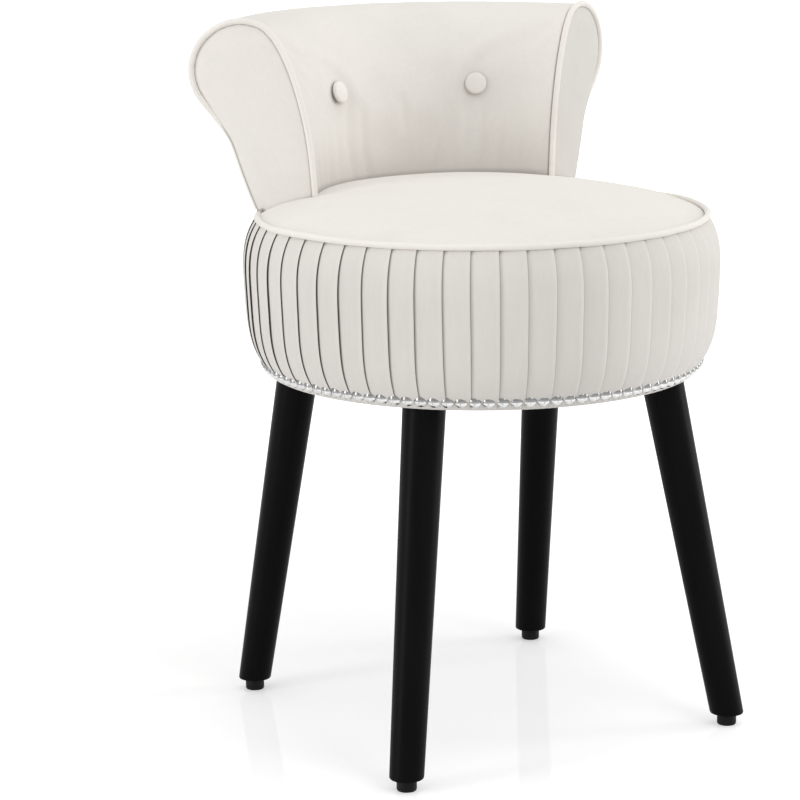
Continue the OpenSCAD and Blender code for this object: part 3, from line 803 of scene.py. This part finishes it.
def band_rows():
    """(radius, height, share of height) from under the hem up to the piping"""
    rows = [(HEM_R - 0.010, HEM_Z + 0.0006, 0.0), (HEM_R - 0.003, HEM_Z, 0.0),
            (HEM_R - 0.0006, HEM_Z + 0.0012, 0.0), (HEM_R + 0.0004, HEM_Z + 0.0045, 0.0)]
    for i in range(BAND_ROWS + 1):
        t = i / BAND_ROWS
        s = t - ROW_CROWDING * math.sin(math.tau * t)
        rows.append((band_r(s), NAIL_Z + (BAND_TOP - NAIL_Z) * s, s))
    rows.append((RIM_R + 0.0006, BAND_TOP + 0.0006, 1.0))
    return rows


def pleat_sway(k, s):
    """How far a pleat's fold wanders sideways on its way up"""
    return PLEAT_SWAY * wobble((k % PLEATS * 3.7, s * 2.2, 0), 1, 4)


def make_band():
    """Knife pleats round the drum: each strip ends in a rounded fold over the start of the next,
    with a narrow deep slot under the fold"""
    dice = random.Random(5)
    shift = [dice.uniform(-0.0006, 0.0006) for _ in range(PLEATS)]
    lift = [dice.uniform(-0.0003, 0.0004) for _ in range(PLEATS)]
    outer, shade_marks, fold_highlights = [], [], []
    for r, z, s in band_rows():
        closed = 0.75 if s > 0.5 else 0.45
        open_up = closed + (1 - closed) * math.sin(math.pi * s) ** 0.5 if 0 < s < 1 else closed
        open_up *= smooth((z - HEM_Z - 0.003) / 0.006)
        step, lip = PLEAT_STEP * open_up, LIP * (0.6 * open_up + 0.4 * open_up ** 2)
        slot = 0.0012 + SLOT * open_up
        # Painted shade: how strongly the slot under each fold is darkened, and a darker nick under the
        # piping at each fold's top
        slot_shade = open_up ** 0.3 if open_up else 0.0
        top_nick_shade = smooth((z - BAND_TOP + 0.0035) / 0.003)
        row = []
        for k in range(PLEATS):
            start = k * PLEAT_PITCH + PLEAT_PHASE
            fold_left = shift[k - 1] + pleat_sway(k - 1, s)
            fold = PLEAT_PITCH * r + shift[k] + pleat_sway(k, s)
            top = lift[k] * math.sin(math.pi * s)
            # The pleat's section: way along the drum, height above the band's outline, painted shade
            face = [(fold_left - slot, -step - 0.0002, 1.0), (fold_left - 0.0006, -step, 1.0),
                    (fold_left + 0.0002, -step, 0.45), (fold_left + 0.0009, -step * 0.94, 0.6 * top_nick_shade)]
            for t in (0.2, 0.36, 0.52, 0.68, 0.82):
                rise = -step * 0.9 * (1 - t) ** 1.35 + top * t
                face.append((fold_left + (fold - fold_left) * t, rise, 0.0))
            face += [(fold - 0.0016, top - 0.00005, 0.0), (fold - 0.0005, top - 0.0002, 0.0),
                     (fold, top - lip * 0.5, 0.0), (fold - 0.0006, top - lip * 0.95, 0.35),
                     (fold - 0.0020, top - lip * 1.05, 1.0), (fold - slot, top - lip * 1.05, 1.0)]
            for along, h, painted_shade in face:
                row.append(on_axis(r + h, start + along / r, z))
                shade_marks.append(painted_shade * slot_shade)
                # Painted highlight along each fold's rounded edge
                fold_highlights.append(smooth(1 - abs(along - fold + 0.0008) / 0.0022) * open_up)
        outer.append(row)
    count = len(outer[0])
    lining = ((HEM_R - 0.012, HEM_Z + 0.0030), (HOOP_R + 0.002, HEM_Z + 0.030),
              (HOOP_R + 0.002, RIM_Z - 0.030), (RIM_R - 0.006, BAND_TOP - 0.001))
    inner = [[on_axis(r, math.tau * i / count + PLEAT_PHASE, z) for i in range(count)] for r, z in lining]
    rest = [0.0] * (len(inner) * count)
    band = shell("pleated_skirt", outer, inner, True)
    # Painted shade in the slots and the nicks, and a painted highlight along the folds, for the velvet to
    # read
    set_value(band, "painted_shade", [0.85 * c for c in shade_marks] + rest)
    set_value(band, "fold", fold_highlights + rest)
    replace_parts(dress(band, BAND_SHADED, 80), "pleated_band", "side_padding")


def cover_lift(i, u, spot, side, end, share):
    """How far the front cover stands out from the outline before its cloth swells"""
    out = front_swell(u, share) * COVER_START - tuft(spot)
    out += fullness(i) * abs(share) ** 5 - 0.0004 * math.exp(-end / 0.0020)
    out += COVER_RISE * (math.exp(-side / 0.012) - math.exp(-side / 0.0010)) * smooth(1.6 - 2 * u)
    return out + 0.0004 * wobble(spot, 0.035, 5) * smooth(end / 0.03)


def cover_shade(u, spot, side, end, share):
    """Painted shade on the front cover: at the seat, low down, by the left panel and at its seams"""
    junction_shade = 0.5 * smooth((seat_z(spot.xy, SEAT_START) + 0.0014 - spot.z) / 0.0022)
    shaded = 0.22 * smooth(1 - u / 0.26) + 0.09 * math.exp(-side / 0.05) * (share < 0)
    return max(junction_shade, shaded + 0.3 * math.exp(-end / 0.0009))


def make_back_front():
    """Front of the back and its roll in one cover, drawn in by the two buttons. Its cloth is held at
    the seams and the buttons, and is taut over the roll"""
    shares = column_shares(FRONT_COLUMNS)
    total = RUN[SEAM]
    outer, inner, depth, edge = [], [], [], []
    for i, p in enumerate(OUTLINE[:SEAM + 1]):
        u = RUN[i] / total
        into = inward(OUTLINE, i)
        row, under = [], []
        for share in shares:
            spot = wrapped(p, share)
            side = end_distance(p, share)
            end = min(side, total - RUN[i])
            row.append(wrapped(p - cover_lift(i, u, spot, side, end, share) * into, share))
            under.append(wrapped(p + BACK_PAD * into, share))
            loose = smooth(side / 0.04) * smooth(u / 0.12) * smooth((total - RUN[i]) / 0.03)
            loose *= smooth((button_distance(spot) - 0.010) / 0.02)
            depth.append(loose if u < ROLL_SHARE else 0.25 * loose)
            edge.append(cover_shade(u, spot, side, end, share))
        outer.append(row)
        inner.append(under)
    cover = shell("back_front_and_roll", outer, inner, False)
    n = len(depth)
    pinned = [i for i in range(n) if depth[i] < 0.01] + list(range(n, 2 * n))
    swell_out(cover, pinned, [COVER_REACH * d for d in depth] + [0.0] * n)
    # Painted shade from cover_shade, for the velvet to read
    set_value(cover, "painted_shade", edge + [0.0] * n)
    apply_modifier(cover, "SUBSURF", levels=1, subdivision_type="CATMULL_CLARK")
    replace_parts(dress(cover, COVER, 60), "back_front_cover", "back_foam", "roll_foam")


def make_back_rear():
    """Outside of the back, sewn to the roll's cover along a drawn-in seam. Its top edge is tucked under
    that cover and its foot behind the seat's piping"""
    shares = column_shares(REAR_COLUMNS)
    outer, inner, edge = [], [], []
    top, foot = OUTLINE[SEAM], OUTLINE[LAST]
    back_up = (OUTLINE[SEAM - 1] - top).normalized()
    rows = [(SEAM, top + REAR_TUCK * back_up + REAR_TUCK_DEPTH * inward(OUTLINE, SEAM))]
    rows += [(i, OUTLINE[i]) for i in range(SEAM, LAST + 1)]
    rows += [(LAST, foot + Vector((-0.0002, -0.0010))),
             (LAST, foot + Vector((-0.0006, -0.0012 - RIM_SETTLE)))]
    for i, p in rows:
        into = inward(OUTLINE, i)
        row, under = [], []
        for share in shares:
            end = min(end_distance(p, share), RUN[i] - RUN[SEAM])
            out = REAR_RISE * smooth(end / 0.03) * smooth((RUN[LAST] - RUN[i]) / 0.03)
            out += 0.0004 * wobble(wrapped(p, share), 0.04, 6) - 0.0009 * math.exp(-end / 0.0025)
            row.append(wrapped(p - out * into, share))
            under.append(wrapped(p + REAR_PAD * into, share))
            edge.append(math.exp(-end / 0.0014))
        outer.append(row)
        inner.append(under)
    cover = shell("back_rear_panel", outer, inner, False)
    # Painted shade along the rear cover's edges and seams
    set_value(cover, "painted_shade", [0.3 * e for e in edge] + [0.0] * len(edge))
    apply_modifier(cover, "SUBSURF", levels=1, subdivision_type="CATMULL_CLARK")
    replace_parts(dress(cover, COVER, 60), "back_rear_cover", "rear_padding")


def end_place(side, r, out, z):
    """Point on the end of the back: r from the seat's axis, out past the middle of its piping"""
    a = BACK_HALF
    across = Vector((math.sin(a), math.cos(a), 0))
    beyond = Vector((math.cos(a), -math.sin(a), 0))
    p = r * across + out * beyond
    return Vector((side * p.x, AXIS_Y + p.y, z))


def rear_lap(i):
    """0 along the front of the back and its roll, 1 down its rear, where the panel laps the piping"""
    return smooth((RUN[i] - RUN[SEAM] + 0.010) / 0.045)


def make_end_panel(side, name):
    """Lightly padded panel that closes an end of the back inside its piping. Down the rear its edge
    laps over the piping, and its foot goes down beside the seat"""
    edge = [p + END_PIPING_R * (0.75 - 0.85 * rear_lap(i)) * inward(END_LINE, i)
            for i, p in enumerate(END_LINE)][::2]
    low = RIM_Z - PIPING_R
    back, front = edge[-1].x, edge[0].x
    border = edge + [Vector((back + (front - back) * i / 10, low)) for i in range(11)]
    points, faces = filled(border, 0.0045, (0.0005, 0.0012, 0.0025, 0.0045, 0.0075))
    sewn = edge + [Vector((back, low - 0.05)), Vector((front, low - 0.05))]
    near = [edge_distance(p, sewn) for p in points]
    at = iter(near)

    def proud(p):
        d = next(at)
        soft = PANEL_RISE * (1 - math.exp(-d / 0.009)) - 0.0004
        return end_place(side, p.x, soft + 0.0003 * wobble((p.x, p.y, side), 0.03, 7), p.y)

    panel = cushion_form(f"{name}_cushion", points, faces, len(border), proud,
                         lambda p: end_place(side, p.x, -END_PIPING_R, p.y))
    # Painted shade in the groove along the piping and in the hollow at the panel's foot
    corner = Vector((CUSHION_R - 0.002, RIM_Z + PIPING_R * 0.6))
    groove_shade = [0.75 * math.exp(-(d / 0.0010) ** 2) for d in near]
    hollow_shade = [0.9 * math.exp(-((p - corner).length / 0.0020) ** 2) for p in points]
    set_value(panel, "painted_shade", [max(a, b) for a, b in zip(groove_shade, hollow_shade)] + [0.0] * len(points))
    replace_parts(dress(panel, COVER if side < 0 else PANEL_RIGHT_SHADED), name)


def make_end_piping(side, name):
    """Piping along the outline's end, thinner down the rear, where the panel laps it"""
    centres, normals, radii = [], [], []
    for i, p in enumerate(END_LINE):
        out = -inward(END_LINE, i)
        centres.append(end_place(side, p.x, -0.0026 * rear_lap(i), p.y))
        normals.append((end_place(side, out.x, 0, out.y) - end_place(side, 0, 0, 0)).normalized())
        radii.append(END_PIPING_R * (1 - 0.2 * rear_lap(i) + 0.03 * wobble(centres[-1], 0.012, 8)))
    piece = tube(f"{name}_welt", centres, normals, PIPING_SIDES, radii, False)
    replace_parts(dress(piece, TRIM), name)


def make_button(side, name):
    """Covered button: a domed face with a rolled rim, seated in its dimple"""
    lean = math.atan2(face_r(BUTTON_Z + BUTTON_R) - BUTTON_FACE_R, BUTTON_R)
    u = lookup(BUTTON_Z, [(p.y, RUN[i] / RUN[SEAM]) for i, p in enumerate(FRONT_FACE)])
    out = front_swell(u, BUTTON_SHARE) - TUFT_DEPTH - BUTTON_SINK
    seated = facing(BUTTON_FACE_R - out * math.cos(lean), side * BUTTON_ANGLE,
                    BUTTON_Z + out * math.sin(lean))
    across = facing(1, side * BUTTON_ANGLE, 0) - facing(0, 0, 0)
    normal = (-math.cos(lean) * across + math.sin(lean) * Vector((0, 0, 1))).normalized()
    place = Matrix.Translation(seated) @ normal.to_track_quat("Z", "Y").to_matrix().to_4x4()
    t, r = BUTTON_T, BUTTON_R
    profile = [(0, -0.001), (r * 0.80, -0.001), (r * 0.93, 0.0004), (r * 0.98, t * 0.20), (r, t * 0.34),
               (r * 0.99, t * 0.48), (r * 0.96, t * 0.62), (r * 0.90, t * 0.73), (r * 0.84, t * 0.775),
               (r * 0.80, t * 0.785), (r * 0.74, t * 0.81), (r * 0.56, t * 0.88), (r * 0.34, t * 0.925),
               (r * 0.12, t * 0.94), (0, t * 0.94)]
    button = lathe(f"{name}_cap", profile, 48, place)
    heights = [(place.inverted() @ v.co).z for v in button.data.vertices]
    # Painted shade down the button's side, next to the cloth
    set_value(button, "painted_shade", [0.75 * smooth((t * 0.42 - z) / (t * 0.2)) for z in heights])
    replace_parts(dress(button, TRIM), name)


# Legs and feet

def make_leg(side, rear, name):
    """Turned and tapered leg, cut level at both ends, with an eased lower edge"""
    low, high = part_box(name)
    foot_r, foot_a, head_r, head_a = REAR_LEG if rear else FRONT_LEG
    turn = 1 if rear else -1
    foot = on_axis(foot_r, turn * foot_a, low.z)
    head = on_axis(head_r, turn * head_a, high.z)
    foot.x, head.x = side * foot.x, side * head.x
    way = (head - foot).normalized()
    right = way.cross(Vector((0, 1, 0))).normalized()
    over = right.cross(way)
    sides = 64
    shares = [0.0, 0.0, 0.001, 0.0025, 0.004, 0.008] + [0.02 + 0.98 * i / 24 for i in range(25)]
    eases = [LEG_EDGE, LEG_EDGE * 0.75, LEG_EDGE * 0.3, LEG_EDGE * 0.08, 0, 0]
    points, faces = [], []
    for j, share in enumerate(shares):
        r = LEG_FOOT_R + (LEG_HEAD_R - LEG_FOOT_R) * share - (eases[j] if j < len(eases) else 0)
        lift = 0.0 if j == 0 else 0.00035 if j == 1 else share * (high.z - low.z)
        for k in range(sides):
            a = math.tau * k / sides
            start = foot + r * (math.cos(a) * right + math.sin(a) * over)
            points.append(start + way * ((foot.z + lift - start.z) / way.z))
    for j in range(len(shares) - 1):
        faces += strip(j * sides, (j + 1) * sides, sides, True)
    faces += [tuple(range(sides)), tuple(range((len(shares) - 1) * sides, len(shares) * sides))]
    leg = new_object(f"{name}_turned", points, faces)
    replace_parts(dress(leg, CAD_LOOKS["black_wood"], 60), name)


def make_foot(name):
    """Levelling foot: a moulded pad with rounded edges on its stem"""
    low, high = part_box(name)
    r = (high.x - low.x) / 2
    pad, stem = FOOT_PAD, FOOT_STEM_R
    place = Matrix.Translation(((low.x + high.x) / 2, (low.y + high.y) / 2, 0))
    profile = [(0, 0.0), (r - 0.0016, 0.0), (r - 0.0007, 0.0003), (r - 0.0002, 0.0010), (r, 0.0019),
               (r, pad - 0.0014), (r - 0.0003, pad - 0.0006), (r - 0.0009, pad - 0.0001), (r - 0.0018, pad),
               (stem, pad), (stem, high.z - 0.0004), (stem - 0.0004, high.z), (0, high.z)]
    foot = lathe(f"{name}_pad", profile, 48, place)
    foot.data.materials.append(CAD_LOOKS["black_plastic"])
    foot.data.shade_smooth()
    foot.data.set_sharp_from_angle(angle=math.radians(50))
    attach(foot, name)
    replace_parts(foot, name)


# Stage

def make_lamp(name, at, size, power):
    """Soft box that is turned to the stool and that the camera doesn't see"""
    light = bpy.data.lights.new(name, "AREA")
    light.shape = "RECTANGLE"
    light.size, light.size_y = size
    light.energy = power
    obj = bpy.data.objects.new(name, light)
    obj.location = at
    obj.rotation_mode = "QUATERNION"
    obj.rotation_quaternion = (LAMP_TARGET - Vector(at)).to_track_quat("-Z", "Y")
    obj.visible_camera = False
    scene.collection.objects.link(obj)


def seen_directly(tree):
    """1 where the camera, a reflection or clear glass looks, else 0"""
    path = tree.nodes.new("ShaderNodeLightPath")
    total = path.outputs["Is Camera Ray"]
    for name in ("Is Glossy Ray", "Is Transmission Ray"):
        add = tree.nodes.new("ShaderNodeMath")
        add.operation = "MAXIMUM"
        tree.links.new(total, add.inputs[0])
        tree.links.new(path.outputs[name], add.inputs[1])
        total = add.outputs[0]
    return total


def make_world():
    """White to look at, and a plain soft light on everything else"""
    world = bpy.data.worlds.new("studio")
    scene.world = world
    world.use_nodes = True
    tree = world.node_tree
    tree.nodes.clear()
    seen, lights = [tree.nodes.new("ShaderNodeBackground") for _ in range(2)]
    for background, strength in ((seen, 1.0), (lights, WORLD_LIGHT)):
        background.inputs["Color"].default_value = (1, 1, 1, 1)
        background.inputs["Strength"].default_value = strength
    mix = tree.nodes.new("ShaderNodeMixShader")
    tree.links.new(seen_directly(tree), mix.inputs["Fac"])
    tree.links.new(lights.outputs[0], mix.inputs[1])
    tree.links.new(seen.outputs[0], mix.inputs[2])
    tree.links.new(mix.outputs[0], tree.nodes.new("ShaderNodeOutputWorld").inputs["Surface"])


def make_floor():
    """White floor that keeps the stool's soft shadow and a faint mirror image of its legs. Its own glow,
    seen only by the camera and in reflections, is dimmer round a point behind the stool, a painted shadow,
    and grows to plain white further out"""
    size = FLOOR_SIZE
    floor = new_object("floor", [(-size, -size, 0), (size, -size, 0), (size, size, 0), (-size, size, 0)],
                       [(0, 1, 2, 3)])
    material = bpy.data.materials.new("white_floor")
    material.use_nodes = True
    tree = material.node_tree
    tree.nodes.clear()

    def add(kind, **inputs):
        made = tree.nodes.new(kind)
        for key, value in inputs.items():
            made.inputs[key.replace("_", " ")].default_value = value
        return made

    diffuse = add("ShaderNodeBsdfDiffuse", Color=(0.75, 0.75, 0.75, 1))
    plain = add("ShaderNodeBsdfDiffuse", Color=(0.8, 0.8, 0.8, 1))
    gloss = add("ShaderNodeBsdfGlossy", Roughness=0.04)
    # Glow seen only by the camera and in reflections: dimmer round a point behind the stool, a painted
    # shadow
    glow = add("ShaderNodeEmission")
    away = add("ShaderNodeVectorMath")
    away.operation = "DISTANCE"
    away.inputs[1].default_value = PAINTED_SHADOW_CENTRE
    level = add("ShaderNodeMapRange", From_Min=SHADE_FROM, From_Max=SHADE_TO,
                To_Min=GLOW_FROM, To_Max=GLOW_TO)
    level.interpolation_type = "SMOOTHSTEP"
    tree.links.new(add("ShaderNodeTexCoord").outputs["Object"], away.inputs[0])
    tree.links.new(away.outputs["Value"], level.inputs["Value"])
    tree.links.new(level.outputs["Result"], glow.inputs["Strength"])
    lit = add("ShaderNodeAddShader")
    tree.links.new(diffuse.outputs[0], lit.inputs[0])
    tree.links.new(glow.outputs[0], lit.inputs[1])
    mirror = add("ShaderNodeMixShader", Fac=FLOOR_MIRROR)
    tree.links.new(lit.outputs[0], mirror.inputs[1])
    tree.links.new(gloss.outputs[0], mirror.inputs[2])
    mix = add("ShaderNodeMixShader")
    tree.links.new(seen_directly(tree), mix.inputs["Fac"])
    tree.links.new(plain.outputs[0], mix.inputs[1])
    tree.links.new(mirror.outputs[0], mix.inputs[2])
    tree.links.new(mix.outputs[0], add("ShaderNodeOutputMaterial").inputs["Surface"])
    floor.data.materials.append(material)


def make_camera():
    camera = bpy.data.cameras.new("camera")
    camera.sensor_width = 36
    camera.lens = CAMERA_LENS
    camera.dof.use_dof = False
    obj = bpy.data.objects.new("camera", camera)
    scene.collection.objects.link(obj)
    a, e, roll = CAMERA_AZIMUTH, CAMERA_ELEVATION, CAMERA_ROLL
    back = Vector((math.sin(a) * math.cos(e), -math.cos(a) * math.cos(e), math.sin(e)))
    level = Vector((math.cos(a), math.sin(a), 0))
    up = back.cross(level)
    right = level * math.cos(roll) + up * math.sin(roll)
    above = up * math.cos(roll) - level * math.sin(roll)
    turned = Matrix((right, above, back)).transposed().to_4x4()
    obj.matrix_world = Matrix.Translation(CAMERA_AT) @ turned
    scene.camera = obj


make_camera()
make_world()
make_floor()
for name, (at, size, power) in LAMPS.items():
    make_lamp(name, at, size, power)

dress_cad_nodes()
make_seat()
make_seat_piping()
make_band()
make_back_front()
make_back_rear()
for side, word in ((-1, "left"), (1, "right")):
    make_end_panel(side, f"end_panel_{word}")
    make_end_piping(side, f"end_piping_{word}")
    make_button(side, f"button_{word}")
    for rear, place in ((False, "front"), (True, "rear")):
        make_leg(side, rear, f"leg_{place}_{word}")
        make_foot(f"foot_{place}_{word}")

scene.view_settings.view_transform = "Standard"
